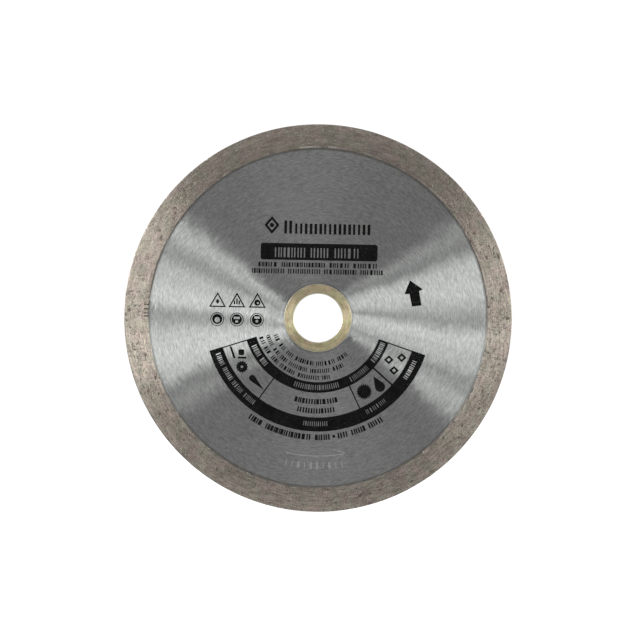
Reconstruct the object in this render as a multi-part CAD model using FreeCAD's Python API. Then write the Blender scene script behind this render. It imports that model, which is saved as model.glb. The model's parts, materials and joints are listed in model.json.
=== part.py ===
import FreeCAD, Part
import math
import os
import random

# Continuous-rim diamond blade for tile and stone, 127 mm (5 in), with a push-in
# reducer bush. Millimetres and degrees. The blade stands upright: it spins about +Y,
# +Z is up, the label side faces -Y, and the origin is the centre of the bore on the
# blade's mid-plane.

V = FreeCAD.Vector
AXIS = V(0, 1, 0)

# ---------------------------------------------------------------- driving sizes
BLADE_D = 127.0          # outside diameter over the sintered bond
BLADE_R = BLADE_D / 2
RIM_H = 8.0              # height of the diamond rim that shows
RIM_IN_R = BLADE_R - RIM_H
RIM_T = 1.6
RIM_EDGE_BREAK = 0.12    # chamfer on the two cutting corners
LIP_STEP = 0.08          # height of the rim's inner lip above the core's face
LIP_RUN = 1.3            # radial length of the lip's slope up to full thickness

CORE_T = 1.2
CORE_EDGE_R = 58.0       # core outside radius, hidden inside the rim
GROOVE_W = 0.3           # part of the relief left showing inside the rim
RELIEF_R = RIM_IN_R - GROOVE_W   # the relief runs from here out under the rim
RELIEF_DEPTH = 0.04
ARBOR_D = 22.23          # arbor hole of the core (7/8 in)
ARBOR_EDGE_BREAK = 0.10

KEY_COUNT = 36           # keyhole notches round the core's edge, filled by the bond
KEY_R = 1.2
KEY_CENTRE_R = CORE_EDGE_R - 0.8   # inside the edge, so each mouth is an undercut

BUSH_CLEARANCE = 0.02    # radial, in the arbor hole
BUSH_D = ARBOR_D - 2 * BUSH_CLEARANCE
BUSH_BORE_D = 15.90      # for a 5/8 in arbor
BUSH_T = 1.1             # a little under the core, so the flanges grip the core
BUSH_EDGE_BREAK = 0.15

CUT_OVER = 1.0           # how far the notch cutters run past each face of the core


def lathe(points):
    """Solid of revolution about +Y from (radius, y) points."""
    loop = [V(radius, y, 0) for radius, y in points]
    return Part.Face(Part.makePolygon(loop + loop[:1])).revolve(V(0, 0, 0), AXIS, 360)


def merged_solid(shape):
    """The single solid of a boolean result, with its split faces merged."""
    shape = shape.removeSplitter()
    assert len(shape.Solids) == 1, len(shape.Solids)
    return shape.Solids[0]


def polar(radius, degrees, y=0.0):
    """Point at an angle from +X, anticlockwise seen from the label side."""
    angle = math.radians(degrees)
    return V(radius * math.cos(angle), y, radius * math.sin(angle))


# ---------------------------------------------------------------- stamped marks
STAMP_DEPTH = 0.06
STAMP_W = 0.36           # line width of the arrow
STAMP_LOW = -CORE_T / 2 - 0.5            # cutters start clear of the label-side face
STAMP_HIGH = -CORE_T / 2 + STAMP_DEPTH

ARROW_R = 45.2           # centre line of the arrow's shaft
ARROW_START, ARROW_END = 257.6, 281.4    # angles of the shaft's ends
ARROW_TIP = (ARROW_R - 0.15, ARROW_END + 1.0)    # radius, angle
# Outer ends of the arrowhead's two barbs: radius, angle
ARROW_BARBS = [(ARROW_R - 1.95, 277.6), (ARROW_R + 1.55, 278.2)]

TALLY_IN_R, TALLY_OUT_R = 47.3, 49.5
TALLY_WIDTH_R = 48.2     # radius at which the stroke widths hold
TALLY_START = 258.6      # angle of the first stroke
TALLY_PITCH = 2.42       # angle between strokes
THIN, THICK = 0.42, 0.9
TALLY_WIDTHS = [THIN, THIN, THICK, THIN, THICK, THICK, THIN, THICK, THIN, THIN]


def stamp_prism(face):
    """Cutter from a face at STAMP_LOW to the bottom of the stamp."""
    return face.extrude(V(0, STAMP_HIGH - STAMP_LOW, 0))


def stamp_stroke(start, end):
    """Straight stroke, run on past both points by a quarter of its width."""
    along = (end - start).normalize()
    side = V(-along.z, 0, along.x) * (STAMP_W / 2)
    extra = along * (STAMP_W * 0.25)
    corners = [start - extra - side, end + extra - side,
               end + extra + side, start - extra + side]
    loop = [V(p.x, STAMP_LOW, p.z) for p in corners]
    return stamp_prism(Part.Face(Part.makePolygon(loop + loop[:1])))


def stamp_sector(r_in, r_out, deg_low, deg_high):
    """Arc-shaped bar between two radii and two angles."""
    deg_mid = (deg_low + deg_high) / 2

    def at(radius, degrees):
        return polar(radius, degrees, STAMP_LOW)

    edges = [
        Part.Arc(at(r_in, deg_low), at(r_in, deg_mid), at(r_in, deg_high)).toShape(),
        Part.makeLine(at(r_in, deg_high), at(r_out, deg_high)),
        Part.Arc(at(r_out, deg_high), at(r_out, deg_mid), at(r_out, deg_low)).toShape(),
        Part.makeLine(at(r_out, deg_low), at(r_in, deg_low)),
    ]
    return stamp_prism(Part.Face(Part.Wire(edges)))


def make_stamps():
    """Curved arrow for the direction of rotation, with tally strokes under it."""
    shaft = stamp_sector(ARROW_R - STAMP_W / 2, ARROW_R + STAMP_W / 2,
                         ARROW_START, ARROW_END)
    barbs = [stamp_stroke(polar(*ARROW_TIP), polar(*barb)) for barb in ARROW_BARBS]
    marks = [shaft.fuse(barbs).removeSplitter()]
    for i, width in enumerate(TALLY_WIDTHS):
        centre = TALLY_START + i * TALLY_PITCH
        half = math.degrees(width / 2 / TALLY_WIDTH_R)
        marks.append(stamp_sector(TALLY_IN_R, TALLY_OUT_R, centre - half, centre + half))
    return Part.Compound(marks)


# ---------------------------------------------------------------- steel core
def make_core():
    """Flat blank with a shallow relief on each face near the edge. The keyhole
    notches lock the sintered rim on, both round the blade and outwards."""
    face_y = CORE_T / 2
    relief_y = face_y - RELIEF_DEPTH
    hole_r = ARBOR_D / 2
    chamfer = ARBOR_EDGE_BREAK
    blank = lathe([
        (hole_r + chamfer, -face_y), (RELIEF_R, -face_y),
        (RELIEF_R, -relief_y), (CORE_EDGE_R, -relief_y),
        (CORE_EDGE_R, relief_y), (RELIEF_R, relief_y),
        (RELIEF_R, face_y), (hole_r + chamfer, face_y),
        (hole_r, face_y - chamfer), (hole_r, -face_y + chamfer),
    ])
    keys = []
    for i in range(KEY_COUNT):
        base = polar(KEY_CENTRE_R, i * 360 / KEY_COUNT, -face_y - CUT_OVER)
        keys.append(Part.makeCylinder(KEY_R, CORE_T + 2 * CUT_OVER, base, AXIS))
    notched = blank.cut(Part.Compound(keys))
    return merged_solid(notched.cut(make_stamps()))


# ---------------------------------------------------------------- diamond crystals
# Octahedral grit held in the bond. Only the crystals that break the surface are made.
GRIT_SEED = 11
GRIT_PER_FACE = 84
GRIT_ON_EDGE = 72
GRIT_SIZE = (0.20, 0.26)       # centre-to-corner of one crystal
GRIT_OUT_FACE = (0.05, 0.10)   # how far a crystal stands out of a side
GRIT_OUT_EDGE = (0.03, 0.05)   # how far a crystal stands out of the cutting edge

GOLDEN_ANGLE = 137.508         # turn from one crystal on a side to the next
GOLDEN_STEP = 0.6180339        # matching radial step, as a fraction of the grit band
BAND_JITTER = 0.1              # random part of that fraction, either way
BACK_TURN = 61.0               # turns the +Y side's pattern against the label side's
BAND_IN_GAP = 0.6              # from the lip's slope to the grit band
BAND_OUT_GAP = 0.7             # from the grit band to the cutting edge
EDGE_JITTER_DEG = 1.6
EDGE_JITTER_Y = 0.38


def random_turn(rng):
    """Rotation drawn evenly from all directions, as a unit quaternion."""
    u1, u2, u3 = rng.random(), rng.random(), rng.random()
    return FreeCAD.Rotation(
        math.sqrt(1 - u1) * math.sin(2 * math.pi * u2),
        math.sqrt(1 - u1) * math.cos(2 * math.pi * u2),
        math.sqrt(u1) * math.sin(2 * math.pi * u3),
        math.sqrt(u1) * math.cos(2 * math.pi * u3),
    )


def make_crystal(rng, point, normal, out):
    """Octahedron whose highest corner stands out of the surface by that much."""
    size = rng.uniform(*GRIT_SIZE)
    turn = random_turn(rng)
    # Opposite corners in pairs along x, y and z
    corners = [turn.multVec(V(*p) * size) for p in
               ((1, 0, 0), (-1, 0, 0), (0, 1, 0), (0, -1, 0), (0, 0, 1), (0, 0, -1))]
    faces = []
    for x in (0, 1):
        for y in (2, 3):
            for z in (4, 5):
                loop = [corners[x], corners[y], corners[z], corners[x]]
                faces.append(Part.Face(Part.makePolygon(loop)))
    solid = Part.Solid(Part.Shell(faces))
    if solid.Volume < 0:
        solid.reverse()
    top = max(corner.dot(normal) for corner in corners)
    solid.translate(point + normal * (out - top))
    return solid


def make_crystals():
    rng = random.Random(GRIT_SEED)
    band_in_r = RIM_IN_R + LIP_RUN + BAND_IN_GAP
    band_h = RIM_H - LIP_RUN - BAND_IN_GAP - BAND_OUT_GAP
    grit = []
    for side, start in ((-1, 0.0), (1, BACK_TURN)):
        for i in range(GRIT_PER_FACE):
            # The golden-angle walk puts no two crystals in one place
            degrees = (i * GOLDEN_ANGLE + start) % 360
            share = (i * GOLDEN_STEP + rng.uniform(-BAND_JITTER, BAND_JITTER)) % 1.0
            point = polar(band_in_r + band_h * share, degrees, side * RIM_T / 2)
            out = rng.uniform(*GRIT_OUT_FACE)
            grit.append(make_crystal(rng, point, V(0, side, 0), out))
    for i in range(GRIT_ON_EDGE):
        degrees = i * 360 / GRIT_ON_EDGE
        if i % (GRIT_ON_EDGE // 4) == 0:
            # The four on the X and Z axes sit on the mid-plane and stand out furthest
            y = 0.0
            out = GRIT_OUT_EDGE[1]
        else:
            degrees += rng.uniform(-EDGE_JITTER_DEG, EDGE_JITTER_DEG)
            y = rng.uniform(-EDGE_JITTER_Y, EDGE_JITTER_Y)
            out = rng.uniform(*GRIT_OUT_EDGE)
        grit.append(make_crystal(rng, polar(BLADE_R, degrees, y), polar(1.0, degrees), out))
    return Part.Compound(grit)


# ---------------------------------------------------------------- diamond rim
def make_rim(core, crystals):
    """Sintered bond: it straddles the core's edge, fills the keyhole notches, runs
    solid out to the cutting edge and has a seat for each crystal."""
    side_y = RIM_T / 2
    lip_y = CORE_T / 2 + LIP_STEP
    slope_r = RIM_IN_R + LIP_RUN
    chamfer = RIM_EDGE_BREAK
    band = lathe([
        (RIM_IN_R, -lip_y), (slope_r, -side_y),
        (BLADE_R - chamfer, -side_y), (BLADE_R, -side_y + chamfer),
        (BLADE_R, side_y - chamfer), (BLADE_R - chamfer, side_y),
        (slope_r, side_y), (RIM_IN_R, lip_y),
    ])
    seated = merged_solid(band.cut(core)).cut(crystals)
    assert len(seated.Solids) == 1, len(seated.Solids)
    return seated.Solids[0]


# ---------------------------------------------------------------- reducer bush
def make_bush():
    """Plain turned ring, a push fit that slides out along the axis."""
    out_r, in_r = BUSH_D / 2, BUSH_BORE_D / 2
    face_y, chamfer = BUSH_T / 2, BUSH_EDGE_BREAK
    return lathe([
        (in_r + chamfer, -face_y), (out_r - chamfer, -face_y),
        (out_r, -face_y + chamfer), (out_r, face_y - chamfer),
        (out_r - chamfer, face_y), (in_r + chamfer, face_y),
        (in_r, face_y - chamfer), (in_r, -face_y + chamfer),
    ])


# ---------------------------------------------------------------- export
core = make_core()
crystals = make_crystals()
parts = {
    "steel_core": core,
    "diamond_rim": make_rim(core, crystals),
    "diamond_crystals": crystals,
    "reducer_bush": make_bush(),
}
os.makedirs("parts", exist_ok=True)
for name, shape in parts.items():
    assert all(solid.isValid() for solid in shape.Solids), name
    shape.exportStep("parts/%s.step" % name)
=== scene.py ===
import json
import math
import random
from functools import cached_property

import bpy
import numpy as np
from mathutils import Matrix, Vector
from mathutils.geometry import delaunay_2d_cdt


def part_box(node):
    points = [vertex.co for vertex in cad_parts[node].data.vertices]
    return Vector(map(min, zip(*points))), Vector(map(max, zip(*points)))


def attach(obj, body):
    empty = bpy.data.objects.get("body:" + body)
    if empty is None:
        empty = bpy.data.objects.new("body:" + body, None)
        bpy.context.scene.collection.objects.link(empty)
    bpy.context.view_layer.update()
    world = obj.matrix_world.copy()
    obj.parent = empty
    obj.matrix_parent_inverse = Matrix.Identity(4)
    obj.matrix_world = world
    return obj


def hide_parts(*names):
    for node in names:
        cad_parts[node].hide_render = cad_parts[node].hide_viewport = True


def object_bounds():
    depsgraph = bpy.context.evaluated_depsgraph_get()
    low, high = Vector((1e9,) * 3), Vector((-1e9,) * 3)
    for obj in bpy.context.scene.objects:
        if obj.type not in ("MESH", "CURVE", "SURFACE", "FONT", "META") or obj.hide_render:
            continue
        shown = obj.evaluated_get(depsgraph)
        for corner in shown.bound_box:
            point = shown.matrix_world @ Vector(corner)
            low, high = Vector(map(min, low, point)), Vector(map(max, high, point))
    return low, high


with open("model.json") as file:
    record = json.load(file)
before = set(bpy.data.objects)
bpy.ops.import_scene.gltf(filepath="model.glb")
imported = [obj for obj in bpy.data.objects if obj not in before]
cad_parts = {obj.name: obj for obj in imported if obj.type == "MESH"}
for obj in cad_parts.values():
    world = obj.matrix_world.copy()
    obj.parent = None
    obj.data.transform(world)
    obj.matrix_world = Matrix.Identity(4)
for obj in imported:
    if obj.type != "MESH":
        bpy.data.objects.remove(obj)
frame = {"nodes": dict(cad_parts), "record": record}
cad_lo, cad_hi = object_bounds()

# ------------------------------------------------------------ sizes from the CAD, mm
MM = 0.001
core_lo, core_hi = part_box("steel_core")
rim_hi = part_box("diamond_rim")[1]
bush_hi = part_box("reducer_bush")[1]
FACE_Y = core_lo.y * 1000          # label-side face of the core
CORE_H = core_hi.y * 1000          # half the core's thickness
CORE_EDGE = core_hi.x * 1000       # outside radius of the core, inside the rim
RIM_R = rim_hi.x * 1000            # outside radius of the bond
RIM_H = rim_hi.y * 1000            # half the rim's thickness
BUSH_R = bush_hi.x * 1000
BUSH_H = bush_hi.y * 1000
BORE_R = next(m for m in frame["record"]["mounts"] if m["kind"] == "bore")["dims"]["r_mm"]
rim_points = np.array([v.co for v in frame["nodes"]["diamond_rim"].data.vertices]) * 1000
rim_radii = np.hypot(rim_points[:, 0], rim_points[:, 2])
# inner edge of the rim, where it stands proud of the core
LIP_R = float(rim_radii[np.abs(rim_points[:, 1]) > CORE_H + 0.02].min())


# ------------------------------------------------------------ shader helpers
class Field:
    """One output in a node graph. Arithmetic on it adds math nodes."""

    def __init__(self, graph, socket):
        self.graph = graph
        self.socket = socket

    def __add__(self, other):
        return self.graph.math("ADD", self, other)

    def __radd__(self, other):
        return self.graph.math("ADD", other, self)

    def __sub__(self, other):
        return self.graph.math("SUBTRACT", self, other)

    def __rsub__(self, other):
        return self.graph.math("SUBTRACT", other, self)

    def __mul__(self, other):
        return self.graph.math("MULTIPLY", self, other)

    def __rtruediv__(self, other):
        return self.graph.math("DIVIDE", other, self)

    def __abs__(self):
        return self.graph.math("ABSOLUTE", self)

    def max(self, other):
        return self.graph.math("MAXIMUM", self, other)

    def step(self, span, to=(0.0, 1.0), kind="SMOOTHSTEP"):
        """Goes smoothly between the two `to` values as this goes across `span`."""
        return self.graph.add("MapRange", (self, *span, *to), interpolation_type=kind)

    def ramp(self, span, to=(0.0, 1.0)):
        """As step, in a straight line."""
        return self.step(span, to, "LINEAR")

    def mix(self, low, high):
        """The colour `low` where this is 0 and `high` where it is 1."""
        return self.graph.mix(self, low, high)

    def cover(self, colour, amount):
        """This colour with another laid over it."""
        return self.graph.mix(amount, self, colour)

    def multiply(self, colour):
        return self.graph.mix(1.0, self, colour, "MULTIPLY")

    def brighten(self, gain):
        return self.multiply(self.graph.join(gain, gain, gain))

    def bump(self, distance, strength):
        """A normal that takes this as its height."""
        return self.graph.add("Bump", {"Height": self, "Distance": distance,
                                       "Strength": strength})


class Graph:
    """Builds the nodes of one material or world."""

    def __init__(self, owner):
        owner.use_nodes = True
        self.owner = owner
        self.tree = owner.node_tree
        self.tree.nodes.clear()

    def put(self, socket, value):
        source = getattr(value, "socket", value)
        if isinstance(source, bpy.types.NodeSocket):
            self.tree.links.new(source, socket)
        elif socket.type == "RGBA":
            socket.default_value = (*value, 1.0)
        else:
            socket.default_value = value

    def node(self, kind, inputs=(), **settings):
        """Inputs are listed in order, or keyed by name or index."""
        node = self.tree.nodes.new("ShaderNode" + kind)
        for name, value in settings.items():
            setattr(node, name, value)
        for key, value in inputs.items() if isinstance(inputs, dict) else enumerate(inputs):
            self.put(node.inputs[key], value)
        return node

    def add(self, kind, inputs=(), output=0, **settings):
        return Field(self, self.node(kind, inputs, **settings).outputs[output])

    def math(self, kind, first, second=0.0, third=0.0):
        return self.add("Math", (first, second, third), operation=kind)

    def length(self, vector):
        return self.add("VectorMath", (vector,), "Value", operation="LENGTH")

    def join(self, x, y, z):
        return self.add("CombineXYZ", (x, y, z))

    def split(self, vector):
        return [Field(self, out) for out in self.node("SeparateXYZ", (vector,)).outputs]

    def noise(self, vector, scale, detail, rough):
        return self.add("TexNoise", {"Vector": vector, "Scale": scale, "Detail": detail,
                                     "Roughness": rough})

    def mix(self, amount, low, high, blend="MIX"):
        return self.add("Mix", {0: amount, 6: low, 7: high}, 2,
                        data_type="RGBA", blend_type=blend)

    def attribute(self, name):
        return self.add("Attribute", output="Fac", attribute_name=name)

    def principled(self, **inputs):
        named = {key.replace("_", " "): value for key, value in inputs.items()}
        return self.add("BsdfPrincipled", named)

    def finish(self, shader, output="OutputMaterial"):
        self.node(output, {"Surface": shader})
        return self.owner


def new_graph(name):
    return Graph(bpy.data.materials.new(name))


class Spot:
    """The shaded point, measured about the spin axis. Its nodes are made on first use."""

    DEPTH_SCALE = 3000.0           # noise cells per metre along the spin axis

    def __init__(self, mat):
        self.mat = mat

    @cached_property
    def point(self):
        return self.mat.add("TexCoord", output="Object")

    @cached_property
    def parts(self):
        return self.mat.split(self.point)

    @property
    def y(self):
        return self.parts[1]

    @cached_property
    def flat(self):
        return self.mat.join(self.parts[0], 0.0, self.parts[2])

    @cached_property
    def radius(self):
        return self.mat.length(self.flat)

    @cached_property
    def outward(self):
        """Unit radial vector."""
        return self.mat.add("VectorMath", (self.flat,), operation="NORMALIZE")

    @cached_property
    def outward_parts(self):
        return self.mat.split(self.outward)

    def toward(self, deg, span, to=(0.0, 1.0)):
        """A step on the cosine of the angle round the axis from here to `deg`."""
        angle = math.radians(deg)
        x, _, z = self.outward_parts
        return (x * math.cos(angle) + z * math.sin(angle)).step(span, to)

    def tangent(self, swing):
        """The radial direction in world space, turned round the circle by `swing`."""
        x, _, z = self.outward_parts
        around = self.mat.join(z * -1.0, 0.0, x)
        turned = self.mat.add("VectorMath", {0: around, "Scale": swing}, operation="SCALE")
        across = self.mat.add("VectorMath", (self.outward, turned), operation="ADD")
        return self.mat.add("VectorTransform", (across,), vector_type="VECTOR",
                            convert_from="OBJECT", convert_to="WORLD")

    def coordinate(self, x, z, around, radial):
        across = self.mat.math("MULTIPLY_ADD", self.radius, radial, self.y * self.DEPTH_SCALE)
        return self.mat.join(x * around, across, z * around)

    def round_vector(self, turn, radial):
        """Seamless round the disc: turn in cells per radian, radial in cells per metre."""
        x, _, z = self.outward_parts
        return self.coordinate(x, z, turn, radial)

    def noise(self, scale, detail=2.0, rough=0.5):
        return self.mat.noise(self.point, scale, detail, rough)

    def rings(self, turn, radial, detail=2.0, rough=0.5):
        return self.mat.noise(self.round_vector(turn, radial), 1.0, detail, rough)

    def streaks(self, along, radial, detail=2.0, rough=0.5):
        """Marks drawn out along circles: cells per metre along and across them."""
        x, _, z = self.mat.split(self.point)
        return self.mat.noise(self.coordinate(x, z, along, radial), 1.0, detail, rough)

    def cells(self, turn, radial):
        """Distance to the nearest cell's middle, and three random values for that cell."""
        cell = self.mat.node("TexVoronoi", {"Vector": self.round_vector(turn, radial),
                                            "Scale": 1.0})
        return Field(self.mat, cell.outputs["Distance"]), self.mat.split(cell.outputs["Color"])


# ------------------------------------------------------------ ground steel and ink
def steel_shader(mat):
    """The core's finish: ground in circles, so it shines in sectors."""
    spot = Spot(mat)
    fine = spot.streaks(along=560.0, radial=2500.0, rough=0.55)
    mid = spot.streaks(along=270.0, radial=1200.0, rough=0.55)
    long = spot.streaks(along=190.0, radial=2300.0, detail=1.0)
    thin = spot.streaks(along=420.0, radial=3600.0, rough=0.6)
    hair = spot.streaks(along=880.0, radial=5200.0, rough=0.7)
    cloud = spot.noise(scale=140.0)
    # the scratches wander a little from true circles, which feathers the bright sectors,
    # and more so close to the bore
    swing = (thin - 0.5) * 0.19 + (cloud - 0.5) * 0.10 + (long - 0.5) * 0.11
    swing = swing * spot.radius.step(span=(0.0120, 0.0260), to=(2.1, 1.0))
    # towards the bore they close in as a shallow spiral, so the sectors lean over there
    lean = 0.00305 / spot.radius - 0.070
    lean = lean * spot.toward(deg=335.0, span=(0.85, 0.985), to=(1.0, 0.62))
    swing = swing - lean.max(0.0)
    rough = 0.335 + ((mid - 0.5) * 0.07 + (cloud - 0.5) * 0.06)
    scratches = fine * 0.45 + hair * 0.40 + mid * 0.15
    colour = scratches.ramp(span=(0.36, 0.64)).mix(
        low=(0.400, 0.403, 0.400), high=(0.775, 0.780, 0.772))
    # painted light and shade in broad patches: brighter round 193 degrees, darker round 62, 210
    # and 330 degrees, and darker near the bore round 183 degrees
    gain = spot.toward(deg=193.0, span=(0.955, 0.995), to=(1.0, 1.15))
    gain = gain - spot.toward(deg=62.0, span=(0.65, 0.97), to=(0.0, 0.055))
    gain = gain - spot.toward(deg=210.0, span=(0.972, 0.998), to=(0.0, 0.07))
    gain = gain - spot.toward(deg=330.0, span=(0.972, 0.998), to=(0.0, 0.05))
    gain = gain - (spot.toward(deg=183.0, span=(0.975, 0.996), to=(0.0, 0.15))
                   * spot.radius.step(span=(0.0180, 0.0145)))
    colour = colour.brighten(gain)
    # painted shade in the groove inside the rim and round the broken edge of the arbor hole,
    # where the step and the gap between parts fall dark
    groove = (spot.radius.step(span=(0.05478, 0.05512))
              * spot.radius.step(span=(0.0562, 0.0556)))
    colour = colour.cover((0.15, 0.14, 0.13), groove * 0.40)
    # painted shade in the gap round the arbor hole's broken edge
    for span, amount in (((0.01180, 0.01145), 0.20), ((0.01127, 0.01119), 0.16)):
        colour = colour.cover((0.13, 0.12, 0.10), spot.radius.step(span, to=(0.0, amount)))
    # fine parallel scratches mirror light in a flat fan, so the shine is much wider
    # across them than along them
    return mat.add("BsdfAnisotropic", {
        "Color": colour,
        "Roughness": rough,
        "Anisotropy": -0.81,
        "Tangent": spot.tangent(swing),
        "Normal": (fine * 0.6 + hair * 0.4).bump(distance=0.000016, strength=0.8),
    }, distribution="GGX")


def make_steel():
    mat = new_graph("ground_steel")
    spot = Spot(mat)
    steel = steel_shader(mat)
    # the stamped marks weren't reached by the grinding, so their metal is dull and even
    inside = (spot.radius.step(span=(0.05515, 0.05490))
              * spot.radius.step(span=(0.0125, 0.0130)))
    sunk = spot.y.step(span=(-0.000597, -0.000575)) * spot.y.step(span=(-0.0001, -0.0003))
    stamped = sunk * inside
    grit = spot.noise(scale=2600.0, rough=0.6)
    dull = mat.principled(
        Base_Color=grit.mix(low=(0.31, 0.31, 0.305), high=(0.47, 0.47, 0.46)),
        Metallic=0.95 - stamped * 0.60,
        Roughness=0.36 + stamped * 0.14,
        Normal=grit.bump(distance=0.00001, strength=0.5))
    return mat.finish(mat.add("MixShader", (stamped * 0.9, steel, dull)))


def make_ink():
    mat = new_graph("screen_print_ink")
    spot = Spot(mat)
    steel = steel_shader(mat)
    tone = spot.noise(scale=900.0, detail=3.0, rough=0.6)
    wide = spot.noise(scale=160.0)
    colour = (tone * 0.6 + wide * 0.4).step(span=(0.35, 0.68)).mix(
        low=(0.0030, 0.0030, 0.0032), high=(0.0085, 0.0083, 0.0082))
    film = mat.principled(
        Base_Color=colour, Metallic=0.0, Specular_IOR_Level=0.10,
        Roughness=tone.ramp(span=(0.3, 0.7), to=(0.42, 0.62)),
        Normal=spot.noise(scale=5000.0, rough=0.6).bump(distance=0.000006, strength=0.6))
    # pinholes and thin scuffs where the grinding lines show through
    pinhole = spot.noise(scale=3600.0, detail=1.0)
    scuff = spot.rings(turn=22.0, radial=2400.0, rough=0.6)
    worn = pinhole.step(span=(0.70, 0.76)).max(scuff.step(span=(0.72, 0.80)) * 0.7)
    return mat.finish(mat.add("MixShader", (worn * 0.5, film, steel)))


# ------------------------------------------------------------ sintered bond and diamond
# Nicks in the lip at -X: angle round the blade, half width in metres
LIP_NICKS = ((176.6, 0.00018), (178.0, 0.00022), (179.4, 0.00014), (180.4, 0.00018))


def make_bond():
    mat = new_graph("sintered_bond")
    spot = Spot(mat)
    radius = spot.radius
    out_x, _, out_z = spot.outward_parts
    pit = mat.attribute("pit")
    grain = spot.noise(scale=3000.0, detail=3.0, rough=0.7)
    mottle = spot.noise(scale=620.0, detail=3.0, rough=0.6)
    broad = spot.noise(scale=90.0)
    dressing = spot.rings(turn=26.0, radial=2700.0, rough=0.6)
    ripple = spot.rings(turn=14.0, radial=1150.0, rough=0.55)
    tone = grain * 0.31 + mottle * 0.15 + dressing * 0.22 + ripple * 0.24 + broad * 0.08
    # the top and the upper left are dressed smoother, so their specks are weaker
    even = spot.toward(deg=115.0, span=(0.15, 0.55))
    tone = 0.5 + (tone - 0.5) * (1.0 - even * 0.28)
    colour = tone.step(span=(0.40, 0.60)).mix(
        low=(0.321, 0.276, 0.237), high=(0.697, 0.605, 0.523))
    # warm copper and cool iron powders, in grains and in wide faint patches
    copper = spot.noise(scale=1300.0, rough=0.6).step(span=(0.54, 0.68), to=(0.0, 0.30))
    colour = colour.cover((0.56, 0.44, 0.36), copper)
    iron = spot.noise(scale=1700.0, rough=0.6).step(span=(0.58, 0.70), to=(0.0, 0.32))
    colour = colour.cover((0.44, 0.47, 0.44), iron)
    tint = spot.noise(scale=230.0).step(span=(0.36, 0.64))
    colour = colour.multiply(tint.mix(low=(0.970, 1.012, 0.985), high=(1.035, 0.985, 1.012)))
    # painted light and shade: the sinter is a touch brighter towards -X and -Z and at the left
    # and right sides, and lighter or darker in patches round 150, 191, 216 and 341 degrees
    gain = (out_x.ramp(span=(-1.0, 1.0), to=(1.17, 1.05))
            + out_z.ramp(span=(-1.0, 1.0), to=(0.06, -0.08)))
    gain = gain + abs(out_x).step(span=(0.80, 0.97), to=(0.0, 0.05))
    gain = gain + spot.toward(deg=191.0, span=(0.975, 0.998), to=(0.0, 0.20))
    gain = gain - spot.toward(deg=216.0, span=(0.940, 0.990), to=(0.0, 0.075))
    gain = gain - spot.toward(deg=341.0, span=(0.970, 0.998), to=(0.0, 0.15))
    gain = gain + spot.toward(deg=150.0, span=(0.970, 0.998), to=(0.0, 0.22))
    colour = colour.brighten(gain)
    # open pores: one cell in a few is dark, and drawn out along the cut
    reach, (pick, _, size) = spot.cells(turn=105.0, radial=2500.0)
    gather = spot.rings(turn=16.0, radial=420.0).step(span=(0.38, 0.62), to=(0.86, 0.52))
    edge = size.ramp(span=(0.0, 1.0), to=(0.28, 0.50))
    pore = reach.step(span=(edge, 0.10)) * (pick - gather).step(span=(0.0, 0.04))
    # smaller flecks, dark or shiny, and crisp pores of a middling size
    small_reach, (dark_pick, shiny_pick, _) = spot.cells(turn=200.0, radial=4300.0)
    fleck = small_reach.step(span=(0.55, 0.22)) * dark_pick.step(span=(0.55, 0.60))
    crisp_reach, (crisp_pick, _, _) = spot.cells(turn=150.0, radial=3300.0)
    crisp = (crisp_reach.step(span=(0.46, 0.30))
             * (crisp_pick - gather).step(span=(0.12, 0.16)))
    dark = (pore * 0.90).max(fleck * 0.60).max(crisp * 0.92).max(pit * 0.80)
    dark = dark * (1.0 - even * 0.30)
    shiny = small_reach.step(span=(0.50, 0.20)) * shiny_pick.step(span=(0.72, 0.76))
    colour = colour.cover((0.86, 0.82, 0.76), shiny * (0.60 - even * 0.25))
    colour = colour.cover((0.050, 0.043, 0.036), dark)
    # painted shade along the inner lip, where it steps down to the core, and painted highlights
    # in places where the lip catches light
    lip = (radius.step(span=(0.05600, 0.05562), to=(0.0, 0.26))
           + radius.step(span=(0.05760, 0.05600), to=(0.0, 0.12)))
    colour = colour.cover((0.14, 0.127, 0.108), lip)
    # painted highlight on the lip, broken up by noise and strongest at the top
    lip_glint_noise = spot.rings(turn=18.0, radial=900.0, rough=0.6).step(span=(0.46, 0.60))
    band = radius.step(span=(0.05580, 0.05595)) * radius.step(span=(0.05650, 0.05625))
    glint_toward_top = spot.toward(deg=95.0, span=(0.978, 0.992), to=(0.30, 0.80))
    colour = colour.cover((0.92, 0.88, 0.82), band * (lip_glint_noise * glint_toward_top))
    # short nicks across the lip
    x, _, z = mat.split(spot.point)
    lipped = radius.step(span=(0.05730, 0.05690)) * radius.step(span=(0.05545, 0.05560))
    for deg, half in LIP_NICKS:
        angle = math.radians(deg)
        off = abs(z * math.cos(angle) - x * math.sin(angle))
        here = out_x.step(span=(0.0, -0.5)) * spot.y.step(span=(0.0, -0.0002))
        nick = off.step(span=(half + 0.00014, half - 0.00004)) * here
        colour = colour.cover((0.05, 0.043, 0.037), nick * lipped * 0.86)
    # the cutting corner is worn a shade darker
    corner = radius.step(span=(0.06310, 0.06345), to=(0.0, 0.12))
    colour = colour.cover((0.15, 0.135, 0.120), corner)
    # bright smears where the wheel that dressed it caught the metal
    smear = (dressing * (0.5 + mottle * 1.0)).step(span=(0.60, 0.74), to=(0.0, 0.35))
    colour = colour.cover((0.74, 0.71, 0.66), smear)
    height = grain * 0.8 + dressing * 0.5 - dark * 0.8
    return mat.finish(mat.principled(
        Base_Color=colour,
        Metallic=radius.step(span=(0.0598, 0.0628), to=(0.93, 0.83)) - dark * 0.6,
        Roughness=grain.ramp(span=(0.3, 0.7), to=(0.42, 0.54)) + dark * 0.25,
        Anisotropic=0.92,
        Tangent=spot.tangent((grain - 0.5) * 0.5),
        Normal=height.bump(distance=0.00005, strength=0.7)))


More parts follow.
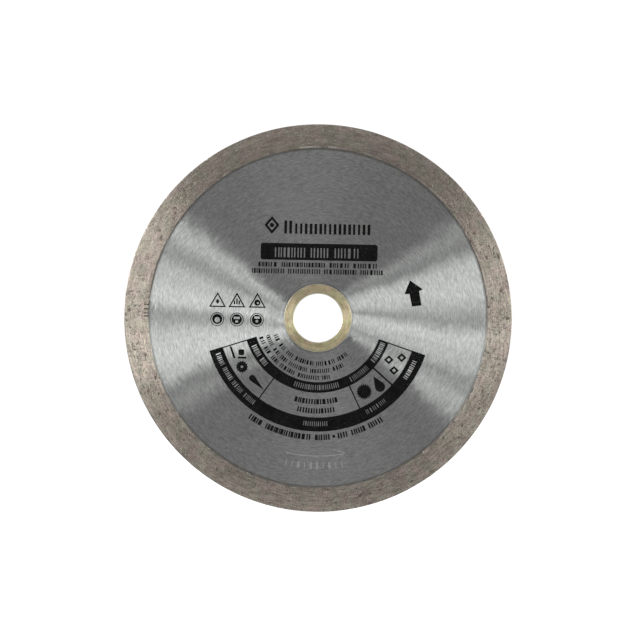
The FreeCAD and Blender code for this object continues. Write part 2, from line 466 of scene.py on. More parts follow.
def make_diamond(name, specular):
    mat = new_graph(name)
    spot = Spot(mat)
    cloud = spot.noise(scale=1500.0)
    inner = spot.noise(scale=7000.0, rough=0.6)
    tone = cloud * 0.5 + mat.attribute("each") * 0.5
    colour = tone.step(span=(0.25, 0.65)).mix(
        low=(0.050, 0.047, 0.034), high=(0.23, 0.205, 0.125))
    colour = colour.cover((0.34, 0.31, 0.20), inner.step(span=(0.55, 0.72), to=(0.0, 0.5)))
    return mat.finish(mat.principled(
        Base_Color=colour, Metallic=0.0, IOR=2.42, Specular_IOR_Level=specular,
        Roughness=inner.ramp(span=(0.3, 0.7), to=(0.12, 0.34)),
        Normal=inner.bump(distance=0.00001, strength=0.4)))


# ------------------------------------------------------------ turned brass
def make_brass():
    mat = new_graph("turned_brass")
    spot = Spot(mat)
    radius = spot.radius
    rings = spot.rings(turn=3.0, radial=5200.0, rough=0.6)
    coarse = spot.rings(turn=1.6, radial=1500.0, detail=1.0)
    patch = spot.noise(scale=330.0, detail=3.0, rough=0.6)
    speck = spot.noise(scale=3000.0, rough=0.6)
    tone = rings * 0.34 + coarse * 0.26 + patch * 0.40
    colour = tone.step(span=(0.38, 0.62)).mix(
        low=(0.540, 0.445, 0.270), high=(0.870, 0.765, 0.505))
    # tarnish in warm and greenish patches, and small dark stains
    colour = colour.cover((0.50, 0.45, 0.28), patch.step(span=(0.56, 0.72), to=(0.0, 0.40)))
    tint = spot.noise(scale=210.0).step(span=(0.36, 0.64))
    colour = colour.multiply(tint.mix(low=(0.965, 1.02, 0.97), high=(1.035, 0.985, 1.02)))
    colour = colour.cover((0.22, 0.17, 0.10), speck.step(span=(0.62, 0.72), to=(0.0, 0.60)))
    # the land inside the step is a shade lighter
    colour = colour.brighten(radius.step(span=(0.00990, 0.00980), to=(1.03, 1.0))
                             if False else radius.step(span=(0.00990, 0.00980), to=(1.03, 1.0)))
    # painted light and shade: the brass is brighter round 196 and 318 degrees and darker round
    # 132 and 180 degrees
    gain = (spot.toward(deg=196.0, span=(0.972, 0.998), to=(0.0, 0.19))
            + spot.toward(deg=318.0, span=(0.55, 0.99), to=(0.0, 0.105)))
    gain = gain + 1.0 - spot.toward(deg=132.0, span=(0.96, 0.998), to=(0.0, 0.15))
    gain = gain - spot.toward(deg=180.0, span=(0.985, 0.998), to=(0.0, 0.08))
    colour = colour.brighten(gain)
    # painted highlights along both broken edges, where the chamfers catch light
    edge_glint = radius.step(span=(0.01088, 0.01098)).max(radius.step(span=(0.00828, 0.00815)))
    colour = colour.cover((1.0, 0.95, 0.80), edge_glint * 0.85)
    return mat.finish(mat.principled(
        Base_Color=colour, Metallic=0.82, Anisotropic=0.75,
        Roughness=patch.ramp(span=(0.3, 0.7), to=(0.40, 0.50)),
        Tangent=spot.tangent((speck - 0.5) * 0.25),
        Normal=rings.bump(distance=0.000020, strength=0.7)))


STEEL = make_steel()
INK = make_ink()
BOND = make_bond()
CRYSTAL = make_diamond("diamond_crystal", specular=0.55)
GRIT = make_diamond("diamond_grit", specular=0.45)
BRASS = make_brass()


# ------------------------------------------------------------ mesh helpers
def dress(obj, material):
    obj.data.materials.clear()
    obj.data.materials.append(material)


def add_object(name, mesh, material, body):
    obj = bpy.data.objects.new(name, mesh)
    bpy.context.scene.collection.objects.link(obj)
    dress(obj, material)
    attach(obj, body)
    return obj


def add_values(mesh, name, values):
    layer = mesh.attributes.new(name, "FLOAT", "POINT")
    layer.data.foreach_set("value", values.astype(np.float32).ravel())


def face_mesh(name, points_mm, faces, material, body):
    mesh = bpy.data.meshes.new(name)
    mesh.from_pydata((np.asarray(points_mm, np.float64) * MM).tolist(), [], faces)
    mesh.validate()
    mesh.update()
    return add_object(name, mesh, material, body)


def ring_mesh(name, radii, depths, material, body, values=None):
    """A closed ring. radii and depths (y) are in mm, shaped (profile point, angle)."""
    n_prof, n_ang = radii.shape
    angles = np.arange(n_ang) * 2 * math.pi / n_ang
    x = radii * np.cos(angles)[None, :]
    z = radii * np.sin(angles)[None, :]
    points = np.stack([x, depths, z], -1).reshape(-1, 3) * MM
    i = np.arange(n_prof)[:, None]
    j = np.arange(n_ang)[None, :]
    i_next, j_next = (i + 1) % n_prof, (j + 1) % n_ang
    quads = np.stack([i * n_ang + j, i_next * n_ang + j, i_next * n_ang + j_next,
                      i * n_ang + j_next], -1).reshape(-1, 4)
    mesh = bpy.data.meshes.new(name)
    mesh.vertices.add(len(points))
    mesh.vertices.foreach_set("co", points.astype(np.float32).ravel())
    mesh.loops.add(quads.size)
    mesh.loops.foreach_set("vertex_index", quads.astype(np.int32).ravel())
    mesh.polygons.add(len(quads))
    mesh.polygons.foreach_set("loop_start", np.arange(0, quads.size, 4, dtype=np.int32))
    mesh.polygons.foreach_set("use_smooth", np.ones(len(quads), bool))
    mesh.update(calc_edges=True)
    mesh.validate()
    for key, value in (values or {}).items():
        add_values(mesh, key, value)
    return add_object(name, mesh, material, body)


def profile(corners, counts):
    """Points along a closed outline, counts[i] on side i: r, y and the outward normal."""
    rows = []
    for i, count in enumerate(counts):
        start = np.array(corners[i], float)
        run = np.array(corners[(i + 1) % len(corners)], float) - start
        normal = np.array([run[1], -run[0]]) / np.linalg.norm(run)
        for k in range(count):
            rows.append((*(start + run * k / count), *normal))
    rows = np.array(rows)
    # average the normals at the corners
    normals = rows[:, 2:] + np.roll(rows[:, 2:], 1, 0)
    normals /= np.linalg.norm(normals, axis=1)[:, None]
    return rows[:, 0], rows[:, 1], normals[:, 0], normals[:, 1]


def soft_noise(shape, spacing, sigma, seed):
    """Gaussian-filtered noise of unit spread that wraps round. Sizes in mm (profile, angle)."""
    waves = np.fft.fft2(np.random.default_rng(seed).standard_normal(shape))
    freq_0 = np.fft.fftfreq(shape[0], spacing[0])[:, None]
    freq_1 = np.fft.fftfreq(shape[1], spacing[1])[None, :]
    decay = (freq_0 * sigma[0]) ** 2 + (freq_1 * sigma[1]) ** 2
    noise = np.fft.ifft2(waves * np.exp(-2 * math.pi ** 2 * decay)).real
    return (noise - noise.mean()) / noise.std()


def smooth(value, low, high):
    part = np.clip((value - low) / (high - low), 0, 1)
    return part * part * (3 - 2 * part)


# ------------------------------------------------------------ the rim, mm
RIM_SEGMENTS = 1400
LIP_RUN = 1.3                      # width of the slope from the lip up to the full thickness
LIP_RISE = 0.08                    # how far the lip stands off the core
RIM_BEVEL = 0.12
RIM_TUCK = 0.10                    # how far the hidden loop is sunk below the core's face


def build_rim():
    lip_h = CORE_H + LIP_RISE
    tuck_h = CORE_H - RIM_TUCK
    slope_r = LIP_R + LIP_RUN
    hidden_r = CORE_EDGE - 0.2
    # radius, y, and steps to the next corner
    outline = [
        (LIP_R, -tuck_h, 1), (LIP_R, -lip_h, 5), (slope_r, -RIM_H, 24),
        (RIM_R - RIM_BEVEL, -RIM_H, 1), (RIM_R, -RIM_H + RIM_BEVEL, 5),
        (RIM_R, RIM_H - RIM_BEVEL, 1), (RIM_R - RIM_BEVEL, RIM_H, 24),
        (slope_r, RIM_H, 5), (LIP_R, lip_h, 1), (LIP_R, tuck_h, 1),
        (hidden_r, tuck_h, 1), (hidden_r, -tuck_h, 1),
    ]
    base_r, base_y, normal_r, normal_y = profile([row[:2] for row in outline],
                                                 [row[2] for row in outline])
    shape = (len(base_r), RIM_SEGMENTS)
    gap = (0.27, 2 * math.pi * 59.5 / RIM_SEGMENTS)     # grid spacing for the noise
    shown = np.ones((len(base_r), 1))
    shown[-3:] = 0.0                                    # these lie inside the steel
    shown[0] = 0.0
    fine = soft_noise(shape, gap, sigma=(0.20, 0.26), seed=1)
    pores = soft_noise(shape, gap, sigma=(0.20, 0.34), seed=2)
    drag = soft_noise(shape, gap, sigma=(0.20, 2.4), seed=3)
    lump = soft_noise(shape, gap, sigma=(0.9, 1.6), seed=4)
    pit = smooth(pores, 1.45, 2.3)
    relief = 0.006 * fine + 0.006 * drag + 0.005 * lump - 0.085 * pit
    relief = np.clip(relief, -0.12, 0.03) * shown
    radii = base_r[:, None] + normal_r[:, None] * relief
    depths = base_y[:, None] + normal_y[:, None] * relief

    def round_noise(sigma, seed):
        return soft_noise((1, RIM_SEGMENTS), (1, gap[1]), (0.01, sigma), seed)[0]

    # ragged inner lip, different on the two sides, with small chips out of it
    for side, seed in ((-1, 21), (1, 22)):
        wobble = round_noise(0.55, seed)
        chip = smooth(round_noise(0.45, seed + 10), 1.5, 2.4)
        near = np.where(np.sign(base_y) == side,
                        np.clip(1 - (base_r - LIP_R) / LIP_RUN, 0, 1), 0)[:, None]
        radii += near ** 1.5 * (0.045 * wobble + 0.42 * chip) * shown
        depths -= side * (near * chip * 0.05 * shown)
    # nicks out of the two cutting corners, and a faintly uneven edge
    for side, seed in ((-1, 31), (1, 32)):
        nick = smooth(round_noise(0.30, seed), 1.2, 2.6)
        off = (base_r - RIM_R) ** 2 + (base_y - side * RIM_H) ** 2
        corner = np.exp(-(off / 0.30 ** 2))[:, None]
        radii -= corner * (0.16 * nick + 0.012)
        depths -= side * corner * (0.10 * nick)
    rim = ring_mesh("rim_bond", radii, depths, BOND, "blade",
                    {"pit": pit * shown, "lump": lump})
    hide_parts("diamond_rim")


build_rim()

# ------------------------------------------------------------ diamond grit, mm
GRIT_IN = LIP_R + 1.1              # the ring of each face that holds grit
GRIT_OUT = RIM_R - 0.35
GRIT_DENSITY = 0.62                # crystals per square mm
EDGE_GRIT = 420                    # crystals round the outside edge
SIGNS = (-1, 1)


def random_rotations(rng, count):
    """Evenly spread rotation matrices, by way of random unit quaternions."""
    share, turn_a, turn_b = rng.random(count), rng.random(count), rng.random(count)
    x = np.sqrt(1 - share) * np.sin(2 * np.pi * turn_a)
    y = np.sqrt(1 - share) * np.cos(2 * np.pi * turn_a)
    z = np.sqrt(share) * np.sin(2 * np.pi * turn_b)
    w = np.sqrt(share) * np.cos(2 * np.pi * turn_b)
    return np.stack([
        np.stack([1 - 2 * (y * y + z * z), 2 * (x * y - z * w), 2 * (x * z + y * w)], 1),
        np.stack([2 * (x * y + z * w), 1 - 2 * (x * x + z * z), 2 * (y * z - x * w)], 1),
        np.stack([2 * (x * z - y * w), 2 * (y * z + x * w), 1 - 2 * (x * x + y * y)], 1),
    ], 1)


def cubo_octahedron():
    """Corners at unit distance, and faces wound to look outwards."""
    corners = np.array([(a, b, 0) for a in SIGNS for b in SIGNS] +
                       [(a, 0, b) for a in SIGNS for b in SIGNS] +
                       [(0, a, b) for a in SIGNS for b in SIGNS], float) / math.sqrt(2)
    faces = []
    for out in np.array([(a, b, c) for a in SIGNS for b in SIGNS for c in SIGNS]):
        faces.append([i for i, p in enumerate(corners) if abs(p @ out - math.sqrt(2)) < 1e-6])
    for axis in range(3):
        for sign in SIGNS:
            square = [i for i, p in enumerate(corners) if p[axis] * sign > 0.5]
            normal = np.eye(3)[axis] * sign
            right = np.roll(normal, 1)
            up = np.cross(normal, right)
            square.sort(key=lambda i: math.atan2(corners[i] @ up, corners[i] @ right))
            faces.append(square)
    wound = []
    for face in faces:
        p = corners[face]
        normal = np.cross(p[1] - p[0], p[2] - p[0])
        wound.append(face if normal @ p.mean(0) > 0 else face[::-1])
    return corners, wound


def build_grit():
    """Cubo-octahedral crystals, most of each one sunk in the bond."""
    rng = np.random.default_rng(5)
    corners, faces = cubo_octahedron()
    points, normals = [], []
    ring_sq = GRIT_OUT ** 2 - GRIT_IN ** 2
    per_face = int(math.pi * ring_sq * GRIT_DENSITY)
    for side in SIGNS:
        # an even, unrepeating scatter: one irrational step round and another across
        k = np.arange(per_face)
        angle = (k * 2.399963 + rng.uniform(-0.01, 0.01, per_face)
                 + (0.7 if side > 0 else 0.0)) % (2 * np.pi)
        share = (k * 0.7548777 + rng.uniform(-0.02, 0.02, per_face)) % 1.0
        radius = np.sqrt(GRIT_IN ** 2 + share * ring_sq)
        points.append(np.stack([radius * np.cos(angle), np.full(per_face, side * RIM_H),
                                radius * np.sin(angle)], 1))
        normals.append(np.tile([0.0, side, 0.0], (per_face, 1)))
    angle = (np.arange(EDGE_GRIT) + rng.uniform(-0.4, 0.4, EDGE_GRIT)) * 2 * np.pi / EDGE_GRIT
    depth = rng.uniform(-RIM_H + 0.3, RIM_H - 0.3, EDGE_GRIT)
    points.append(np.stack([RIM_R * np.cos(angle), depth, RIM_R * np.sin(angle)], 1))
    normals.append(np.stack([np.cos(angle), np.zeros(EDGE_GRIT), np.sin(angle)], 1))
    points, normals = np.concatenate(points), np.concatenate(normals)
    count = len(points)
    size = rng.uniform(0.13, 0.21, count)
    size *= np.where(rng.random(count) < 0.25, 1.25, 1.0)
    turns = random_rotations(rng, count)
    stretch = 1 + rng.uniform(-0.18, 0.18, (count, 1, 3))
    cloud = np.einsum("nij,nkj->nki", turns, corners[None] * stretch * size[:, None, None])
    top = np.einsum("nkj,nj->nk", cloud, normals).max(1)
    on_edge = np.arange(count) >= count - EDGE_GRIT
    # how far each crystal stands out of the bond
    proud = np.where(on_edge, rng.uniform(0.02, 0.045, count), rng.uniform(0.02, 0.085, count))
    centre = points + normals * (proud - top)[:, None]
    each = len(corners)
    all_faces = [tuple(i + each * k for i in face) for k in range(count) for face in faces]
    grit = face_mesh("rim_grit", (cloud + centre[:, None, :]).reshape(-1, 3), all_faces,
                     GRIT, "blade")
    add_values(grit.data, "each", np.repeat(rng.random(count), each))


build_grit()
dress(frame["nodes"]["diamond_crystals"], CRYSTAL)
dress(frame["nodes"]["steel_core"], STEEL)

# ------------------------------------------------------------ the bush, mm
BUSH_SEGMENTS = 384
BUSH_BEVEL = 0.15
BUSH_STEP_R = 9.85                 # the face drops a little outside this radius
BUSH_DROP = 0.012


def build_bush():
    """Turned ring: broken corners, a low step part way across each face, fine tool marks."""
    face = []
    for k, radius in enumerate(np.arange(BORE_R + BUSH_BEVEL, BUSH_R - BUSH_BEVEL, 0.075)):
        low = BUSH_DROP * float(smooth(radius, BUSH_STEP_R - 0.05, BUSH_STEP_R + 0.05))
        groove = 0.0035 * math.sin(k * 2.1) + 0.002 * math.sin(k * 0.83 + 1.0)
        face.append((radius, BUSH_H - low - 0.004 + groove))
    face.append((BUSH_R - BUSH_BEVEL, BUSH_H - BUSH_DROP))
    high = BUSH_H - BUSH_BEVEL + 0.02
    low = BUSH_H - BUSH_BEVEL - 0.02
    outline = [(radius, -y) for radius, y in face]      # label side, bore outwards
    outline += [(BUSH_R - 0.03, -high), (BUSH_R, -low), (BUSH_R, low), (BUSH_R - 0.03, high)]
    outline += face[::-1]                               # plain side, outside inwards
    outline += [(BORE_R + 0.03, high), (BORE_R, low), (BORE_R, -low), (BORE_R + 0.03, -high)]
    points = np.array(outline)
    bush = ring_mesh("bush_turned", np.repeat(points[:, :1], BUSH_SEGMENTS, 1),
                     np.repeat(points[:, 1:], BUSH_SEGMENTS, 1), BRASS, "bush")
    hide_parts("reducer_bush")


build_bush()

# ------------------------------------------------------------ printed graphics
# All marks are plain shapes: bars, rings, triangles and dots. Sizes in mm on the label
# side, X right, Z up; angles anticlockwise from +X.
INK_PROUD = 0.016                  # the print's top stands this far off the core
INK_SUNK = 0.002


def inside_loops(loops, centres):
    """Even-odd test: which of the centres lie inside the set of loops."""
    inside = np.zeros(len(centres), bool)
    for loop in loops:
        here = np.array(loop, float)
        after = np.roll(here, -1, 0)
        boxed = ((centres >= here.min(0)) & (centres <= here.max(0))).all(1)
        idx = np.nonzero(boxed)[0]
        if not len(idx):
            continue
        x, z = centres[idx, 0][:, None], centres[idx, 1][:, None]
        cross = (here[None, :, 1] > z) != (after[None, :, 1] > z)
        # level edges divide by zero, but never count as crossed
        with np.errstate(divide="ignore", invalid="ignore"):
            cut = ((after[:, 0] - here[:, 0])[None] * (z - here[None, :, 1])
                   / (after[:, 1] - here[:, 1])[None] + here[None, :, 0])
        inside[idx] ^= ((cross & (x < cut)).sum(1) % 2 == 1)
    return inside


def ink(name, loops):
    """A thin solid over a set of closed outlines, filled by the even-odd rule."""
    points, edges = [], []
    for loop in loops:
        first, count = len(points), len(loop)
        points += [Vector((float(x), float(z))) for x, z in loop]
        edges += [(first + i, first + (i + 1) % count) for i in range(count)]
    filled = delaunay_2d_cdt(points, edges, [], 0, 1e-5)
    flat = np.array([(p.x, p.y) for p in filled[0]])
    tris = np.array([f for f in filled[2] if len(f) == 3])
    keep = tris[inside_loops(loops, flat[tris].mean(1))]
    a, b, c = (flat[keep[:, i]] for i in range(3))
    area = ((b[:, 0] - a[:, 0]) * (c[:, 1] - a[:, 1])
            - (c[:, 0] - a[:, 0]) * (b[:, 1] - a[:, 1]))
    keep[area < 0] = keep[area < 0][:, ::-1]
    tops = keep.tolist()
    # a dict, to keep the sides in order
    sides = dict.fromkeys((t[i], t[(i + 1) % 3]) for t in tops for i in range(3))
    count = len(flat)
    # seen from -Y, anticlockwise in (X, Z) faces the viewer
    faces = [tuple(t) for t in tops]
    faces += [(t[2] + count, t[1] + count, t[0] + count) for t in tops]
    faces += [(j, i, i + count, j + count) for i, j in sides if (j, i) not in sides]
    solid = [(x, FACE_Y - INK_PROUD, z) for x, z in flat]
    solid += [(x, FACE_Y + INK_SUNK, z) for x, z in flat]
    face_mesh(name, solid, faces, INK, "blade")


def rect(left, bottom, right, top):
    return [(left, bottom), (right, bottom), (right, top), (left, top)]


def polar(radius, deg):
    angle = math.radians(deg)
    return (radius * math.cos(angle), radius * math.sin(angle))


def sector(inner_r, outer_r, start, end, step=1.0):
    count = max(1, int(math.ceil(abs(end - start) / step)))
    outer = [polar(outer_r, start + (end - start) * i / count) for i in range(count + 1)]
    inner = [polar(inner_r, end + (start - end) * i / count) for i in range(count + 1)]
    return outer + inner


def disc(mid_x, mid_z, radius, count):
    angles = [2 * math.pi * i / count for i in range(count)]
    return [(mid_x + radius * math.cos(a), mid_z + radius * math.sin(a)) for a in angles]


def rounded(mid_x, mid_z, width, height, radius, count=6):
    """A rectangle with rounded corners. Its loop crosses itself at two of them."""
    loop = []
    for sign_x, sign_z, start in ((1, 1, 0), (-1, 1, 90), (-1, -1, 180), (1, -1, 270)):
        for i in range(count + 1):
            x, z = polar(radius, start + 90 * i / count)
            loop.append((mid_x + sign_x * (width / 2 - radius) + x,
                         mid_z + sign_z * (height / 2 - radius) + z))
    return loop


def triangle_outline(mid_x, mid_z, width, height, stroke):
    outer = [(mid_x - width / 2, mid_z - height / 2), (mid_x + width / 2, mid_z - height / 2),
             (mid_x, mid_z + height / 2)]
    inradius = width * height / (width + 2 * math.hypot(width / 2, height))
    shrink = 1 - stroke / inradius
    hub_z = mid_z - height / 2 + inradius
    return [outer, [(mid_x + (x - mid_x) * shrink, hub_z + (z - hub_z) * shrink)
                    for x, z in outer]]


def lozenge(mid_x, mid_z, half_w, half_h):
    return [(mid_x, mid_z + half_h), (mid_x - half_w, mid_z),
            (mid_x, mid_z - half_h), (mid_x + half_w, mid_z)]


def droplet(mid_x, mid_z, radius, tip_x, tip_z, count=24):
    """A round drop drawn out to a point."""
    aim = math.atan2(tip_z - mid_z, tip_x - mid_x)
    half = math.acos(radius / math.hypot(tip_x - mid_x, tip_z - mid_z))
    loop = []
    for i in range(count + 1):
        angle = aim + half + (2 * math.pi - 2 * half) * i / count
        loop.append((mid_x + radius * math.cos(angle), mid_z + radius * math.sin(angle)))
    return loop + [(tip_x, tip_z)]


def star(mid_x, mid_z, root_r, tip_r, teeth):
    """A toothed disc."""
    loop = []
    for i in range(2 * teeth):
        angle = math.pi * i / teeth
        radius = tip_r if i % 2 == 0 else root_r
        loop.append((mid_x + radius * math.cos(angle), mid_z + radius * math.sin(angle)))
    return loop


def spoke(deg, width, inner_r=24.45, outer_r=32.65):
    inner = math.degrees(width / 2 / inner_r)
    outer = math.degrees(width / 2 / outer_r)
    return [polar(inner_r, deg - inner), polar(outer_r, deg - outer),
            polar(outer_r, deg + outer), polar(inner_r, deg + inner)]


# A mark is one or two plain upright bars in a unit cell, as (start, end) pairs.
MARKS = [[(0.02, 0.27), (0.50, 0.75)], [(0.08, 0.32), (0.58, 0.80)], [(0.00, 0.22), (0.40, 0.78)],
         [(0.02, 0.44), (0.64, 0.84)], [(0.14, 0.62)], [(0.02, 0.24), (0.46, 0.70)]]
MARK_PITCH = 0.94
WORD_GAP = 0.62


def bars(words, seed, fat, start, length):
    """Bars for words of those lengths, fitted to a length. fat widens or narrows them."""
    rng = random.Random(seed)
    row, place = [], 0.0
    for word in words:
        for _ in range(word):
            for low, high in MARKS[rng.randrange(len(MARKS))]:
                half = (high - low) * fat / 2
                mid = place + (low + high) / 2
                row.append((mid - half, mid + half))
            place += MARK_PITCH
        place += WORD_GAP
    scale = length / max(high for _, high in row)
    return [(start + low * scale, start + high * scale) for low, high in row]


def line_marks(mid_x, mid_z, width, height, words, seed, fat=1.0):
    """A straight row of bars, centred."""
    return [rect(low, mid_z - height / 2, high, mid_z + height / 2)
            for low, high in bars(words, seed, fat, mid_x - width / 2, width)]


def arc_marks(inner_r, outer_r, rows):
    """Rows of bars along an arc. A row is start and end angle, words, seed, fatness."""
    return [sector(inner_r, outer_r, low, high, 0.8)
            for start, end, words, seed, fat in rows
            for low, high in bars(words, seed, fat, start, end - start)]


def print_head():
    """A plain lozenge beside nine pairs of bars, the first pair taller."""
    loops = [[(-15.66, 33.1), (-18.1, 30.19), (-15.66, 27.25), (-13.2, 30.19)],
             [(-15.66, 31.95), (-17.12, 30.19), (-15.66, 28.42), (-14.18, 30.19)],
             disc(-15.66, 30.19, 0.72, 20)]
    x = -11.6
    for k in range(9):
        top = 31.75 if k == 0 else 30.85
        width = 0.90 if k % 3 != 1 else 0.74
        loops.append(rect(x, 27.45, x + width, top))
        loops.append(rect(x + 1.62, 27.45, x + 1.62 + width, top))
        x += 3.16 if k else 3.55
    ink("print_head", loops)


def print_icons():
    """Three outlined triangles over three rings, each with its own filling."""
    left, mid, right = -33.0, -26.66, -19.97
    fillings = [
        [[(left, 3.95), (left + 0.62, 4.85), (left, 5.75), (left - 0.62, 4.85)]],
        [rect(mid - 1.0, 3.95, mid - 0.55, 5.2), rect(mid - 0.22, 3.95, mid + 0.22, 5.9),
         rect(mid + 0.55, 3.95, mid + 1.0, 5.2)],
        [disc(right, 4.66, 1.02, 24), disc(right + 0.2, 4.5, 0.34, 14)],
    ]
    loops = []
    for x, filling in zip((left, mid, right), fillings):
        loops += triangle_outline(x, 5.45, width=5.6, height=4.95, stroke=0.42) + filling
    left, mid, right = -33.0, -26.6, -20.0
    fillings = [
        [disc(left, -1.2, 0.88, 20)],
        [rect(mid - 1.0, -0.85, mid + 1.0, -0.10), rect(mid - 0.42, -2.0, mid + 0.42, -1.3)],
        [rect(right - 0.85, -0.60, right + 0.85, 0.10), disc(right, -1.45, 0.46, 14)],
    ]
    for x, filling in zip((left, mid, right), fillings):
        loops += [disc(x, -1.0, 2.25, 48), disc(x, -1.0, 2.25 - 0.26, 48)]
        loops += [disc(x, -0.95, 1.68, 30)] + filling
    ink("print_icons", loops)


PANEL = (197.9, 342.0)             # start and end angle of the panel under the bore


def print_panel():
    """Two bands with bars left bare in them, joined by spokes."""
    ink("print_band_inner", [sector(21.07, 24.5, *PANEL)] + arc_marks(21.95, 23.65, [
        (204.1, 223.1, [3, 2], 31, 0.95), (251.1, 288.1, [11], 32, 0.74),
        (298.1, 316.1, [7], 33, 0.60), (322.1, 340.1, [7], 34, 0.90)]))
    outer = [sector(32.6, 37.2, *PANEL)]
    outer += arc_marks(33.95, 35.55, [(200.1, 234.1, [4, 4, 4, 4], 35, 0.75)])
    outer += arc_marks(33.95, 35.45, [
        (263.1, 276.1, [6], 36, 0.62), (298.1, 310.1, [6], 37, 0.60),
        (326.1, 337.1, [5], 38, 0.85)])
    ink("print_band_outer", outer)
    # angle, width
    spokes = [(PANEL[0] + 0.45, 0.4), (PANEL[1] - 0.45, 0.4), (234.8, 0.4), (295.9, 0.4),
              (319.0, 0.55)]
    ink("print_spokes", [spoke(*row) for row in spokes])
    ink("print_panel_lines",
        arc_marks(26.6, 28.3, [(270.0 - 15.0, 270.0 + 14.3, [8], 41, 1.16)])
        + arc_marks(29.6, 31.3, [(270.0 - 11.8, 270.0 + 11.2, [7], 42, 1.16)]))


def print_panel_marks():
    """Small shapes at the two ends of the panel."""
    loops = [star(15.6, -23.85, 2.05, 2.72, 22), droplet(20.77, -22.15, 1.66, 18.5, -18.75)]
    for x, z in ((23.46, -13.25), (27.64, -12.47), (25.2, -16.7)):
        # a plain lozenge with its middle left bare
        loops += [lozenge(x, z, 1.6, 1.5), lozenge(x, z, 0.66, 0.62)]
    loops += [
        [(-28.85, -9.75), (-28.05, -10.0), (-26.75, -13.55), (-27.4, -13.80)],
        rounded(-24.9, -11.7, 1.9, 1.9, 0.45, 3),
        rect(-26.0, -13.75, -23.2, -13.15),
        star(-24.6, -16.45, 1.62, 2.12, 13),
        disc(-24.6, -16.45, 0.42, 14),
        droplet(-21.15, -20.1, 1.05, -17.3, -23.9),
    ]
    ink("print_panel_marks", loops)


def print_rows():
    """Three small rows between the bore and the panel, and one row under the panel."""
    loops = arc_marks(14.25, 15.7, [(202.3, 309.8, [2, 2, 2, 5, 5, 3], 51, 0.98)])
    loops += arc_marks(16.75, 18.1, [(199.9, 299.1, [3, 2, 2, 5, 5, 3], 52, 0.96)])
    loops += arc_marks(18.95, 20.3, [(198.7, 282.4, [2, 2, 2, 4, 5, 2], 53, 1.0)])
    loops += arc_marks(38.2, 40.05, [(236.0, 276.7, [3, 9, 3], 54, 1.22)])
    loops.append(disc(*polar(39.1, 278.7), 0.50, 16))
    loops += arc_marks(38.2, 40.05, [(280.6, 303.3, [2, 3, 3], 55, 1.22)])
    ink("print_rows", loops)


print_head()
# name plate with bars left bare in it
ink("print_plate", [rounded(-0.05, 21.6, 38.3, 5.45, 0.8)]
    + line_marks(-0.97, 21.3, 27.6, 3.2, words=[5, 3, 4], seed=8, fat=0.80))
ink("print_lines", line_marks(-0.49, 17.3, 38.8, 1.55, words=[4, 9, 4, 5], seed=12)
    + line_marks(-0.52, 15.17, 42.9, 1.6, words=[7, 7, 7, 5], seed=13))
print_icons()
ink("print_arrow", [[(29.92, 12.91), (28.17, 8.38), (29.84, 8.42), (30.71, 4.37),
                     (33.85, 4.72), (32.97, 9.43), (34.2, 10.01)]])
print_panel()
print_panel_marks()
print_rows()

# ------------------------------------------------------------ stage, lights, camera
FLOOR_HALF = 3.0
FLOOR_GAP = 0.00002                # clearance under the blade
WHITE = (1.0, 1.0, 1.0)


def make_floor_material():
    """Blown out to white all round, with only the soft shadow at the contact left."""
    mat = new_graph("pale_floor")
    spot = Spot(mat)
    tone = spot.noise(scale=3.0)
    diffuse = mat.add("BsdfDiffuse", {
        "Color": tone.mix(low=(0.80, 0.80, 0.80), high=(0.84, 0.84, 0.84))})
    x, y, _ = spot.parts
    away = mat.length(mat.join(x * 0.90, y, 0.0))
    geometry = mat.node("NewGeometry").outputs
    facing = abs(mat.add("VectorMath", (geometry["Incoming"], geometry["Normal"]), "Value",
                         operation="DOT_PRODUCT"))
    # the shadow goes where the floor is seen nearly edge on
    shadow = away.step(span=(0.004, 0.044), to=(0.24, 0.0)) * facing.step(span=(0.030, 0.045))
    glow = mat.add("Emission", {"Color": WHITE, "Strength": 0.62 - shadow})
    seen = mat.add("AddShader", (diffuse, glow))
    # what the blade's metal sees of the floor is dimmer
    dim = mat.add("Emission", {"Color": WHITE, "Strength": 0.308})
    camera_ray = mat.add("LightPath", output="Is Camera Ray")
    return mat.finish(mat.add("MixShader", (camera_ray, dim, seen)))


def build_floor():
    mesh = bpy.data.meshes.new("floor")
    half = FLOOR_HALF
    mesh.from_pydata([(-half, -half, 0), (half, -half, 0), (half, half, 0), (-half, half, 0)],
                     [], [(0, 1, 2, 3)])
    floor = bpy.data.objects.new("floor", mesh)
    floor.location = (0, 0, cad_lo.z - FLOOR_GAP)
    bpy.context.scene.collection.objects.link(floor)
    mesh.materials.append(make_floor_material())


def build_world():
    """White to the camera, and a dimmer fill light for everything else."""
    world = bpy.data.worlds.new("studio")
    bpy.context.scene.world = world
    graph = Graph(world)
    camera_ray = graph.add("LightPath", output="Is Camera Ray")
    seen = graph.add("Background", {"Color": WHITE, "Strength": 1.05})
    fill = graph.add("Background", {"Color": WHITE, "Strength": 0.300})
    graph.finish(graph.add("MixShader", (camera_ray, fill, seen)), "OutputWorld")


LIGHT_POLAR = 62                   # angle off the spin axis
LIGHT_LENGTH = 30                  # angle each strip covers away from the axis
LIGHT_DISTANCE = 4.0
LIGHT_COLOUR = (0.965, 1.0, 0.972)
# name, angle round the blade, watts, angle covered round the axis
STRIPS = [
    ("low_right", 3.5, 10, 6),
    ("key_right", 12.5, 43, 12),
    ("high_right", 21.6, 15.5, 6),
    ("edge_right", 32.5, 8.5, 6),
    ("edge_left", 148.2, 16.5, 6),
    ("high_left", 153.6, 11, 6),
    ("key_left_a", 162.6, 17, 6),
    ("key_left_b", 168.5, 16.5, 6),
    ("low_left", 174.1, 25, 6),
    ("over", 95.0, 9, 40),
]


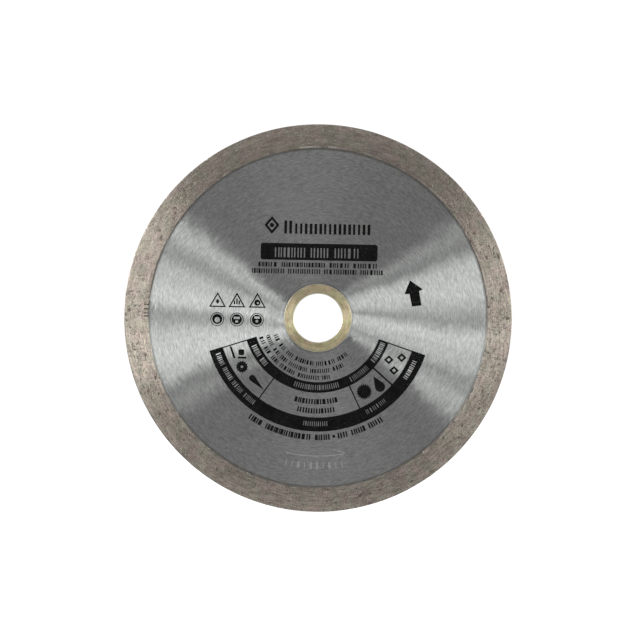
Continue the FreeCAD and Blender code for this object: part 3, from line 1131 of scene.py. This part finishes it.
def fade_strip(tree):
    """Fades a light's diffuser out towards its sides, with the same mean brightness."""
    def calc(operation, *values):
        node = tree.nodes.new("ShaderNodeMath")
        node.operation = operation
        for socket, value in zip(node.inputs, values):
            if isinstance(value, float):
                socket.default_value = value
            else:
                tree.links.new(value, socket)
        return node.outputs[0]

    def hump(value):
        """2 sin^2: none at both ends, and 1 on average."""
        wave = calc("SINE", calc("MULTIPLY", value, math.pi))
        return calc("MULTIPLY", calc("MULTIPLY", wave, wave), 2.0)

    geometry = tree.nodes.new("ShaderNodeNewGeometry")
    parts = tree.nodes.new("ShaderNodeSeparateXYZ")
    tree.links.new(geometry.outputs["Parametric"], parts.inputs[0])
    glow = next(node for node in tree.nodes if node.type == "EMISSION")
    fade = calc("MULTIPLY", hump(parts.outputs[0]), hump(parts.outputs[1]))
    tree.links.new(fade, glow.inputs["Strength"])


def strip(name, azimuth, power, width, side):
    """A strip box aimed at the bore. width is measured where it's down to half."""
    turn, tilt = math.radians(azimuth), math.radians(LIGHT_POLAR)
    radial = Vector((math.cos(turn), 0, math.sin(turn)))
    axis = Vector((0, side, 0))
    away = (radial * math.sin(tilt) + axis * math.cos(tilt)).normalized()
    along = (radial * math.cos(tilt) - axis * math.sin(tilt)).normalized()
    across = along.cross(away)
    light = bpy.data.lights.new(name, "AREA")
    light.shape = "RECTANGLE"
    light.size = 4 * LIGHT_DISTANCE * math.sin(tilt) * math.tan(math.radians(width / 2))
    light.size_y = 2 * LIGHT_DISTANCE * math.tan(math.radians(LIGHT_LENGTH * 0.8))
    light.energy = power
    light.color = LIGHT_COLOUR
    light.use_nodes = True
    fade_strip(light.node_tree)
    lamp = bpy.data.objects.new(name, light)
    rows = zip(across, along, away, away * LIGHT_DISTANCE)
    lamp.matrix_world = Matrix((*rows, (0, 0, 0, 1)))
    lamp.visible_camera = False
    bpy.context.scene.collection.objects.link(lamp)


CAMERA_DISTANCE = 2.4
CAMERA_ROLL = 1.1
RIM_SHARE = 0.6093                 # the rim's radius over half the frame's width


def build_camera():
    data = bpy.data.cameras.new("camera")
    data.sensor_width = 36.0
    data.lens = data.sensor_width / 2 * CAMERA_DISTANCE / (RIM_R * MM / RIM_SHARE)
    camera = bpy.data.objects.new("camera", data)
    camera.matrix_world = (Matrix.Translation((0, -CAMERA_DISTANCE, 0))
                           @ Matrix.Rotation(math.radians(90), 4, "X")
                           @ Matrix.Rotation(math.radians(CAMERA_ROLL), 4, "Z"))
    bpy.context.scene.collection.objects.link(camera)
    bpy.context.scene.camera = camera


build_floor()
build_world()
# the same set stands behind, turned down
for side, tag, gain in ((-1, "front", 1.0), (1, "back", 0.72)):
    for name, azimuth, power, width in STRIPS:
        strip(f"{name}_{tag}", azimuth, power * gain, width, side)
build_camera()
bpy.context.scene.view_settings.view_transform = "Standard"
